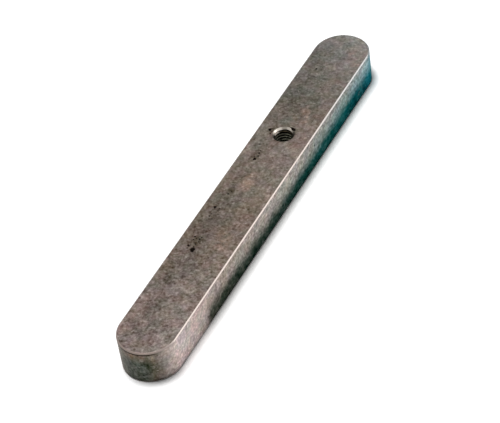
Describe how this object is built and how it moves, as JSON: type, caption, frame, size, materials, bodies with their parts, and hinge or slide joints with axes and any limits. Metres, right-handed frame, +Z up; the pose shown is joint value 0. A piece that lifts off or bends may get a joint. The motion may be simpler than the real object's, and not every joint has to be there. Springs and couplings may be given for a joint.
{
  "type": "parallel key",
  "caption": "Long rectangular steel key with two fully rounded ends, chamfered edges and one tapped hole for a jack screw; locks a hub to a shaft.",
  "frame": {"origin": "centre of the bottom face, the face that seats in the shaft's keyseat", "axes": "+X along the key towards the end nearer the tapped hole; +Z up out of the shaft, along the hole; +Y across the key's width"},
  "size_m": [0.18, 0.022, 0.014],
  "materials": {
    "key_steel": "satin, slightly worn"
  },
  "bodies": {
    "root": {"parallel_key": "key_steel"}
  },
  "joints": []
}
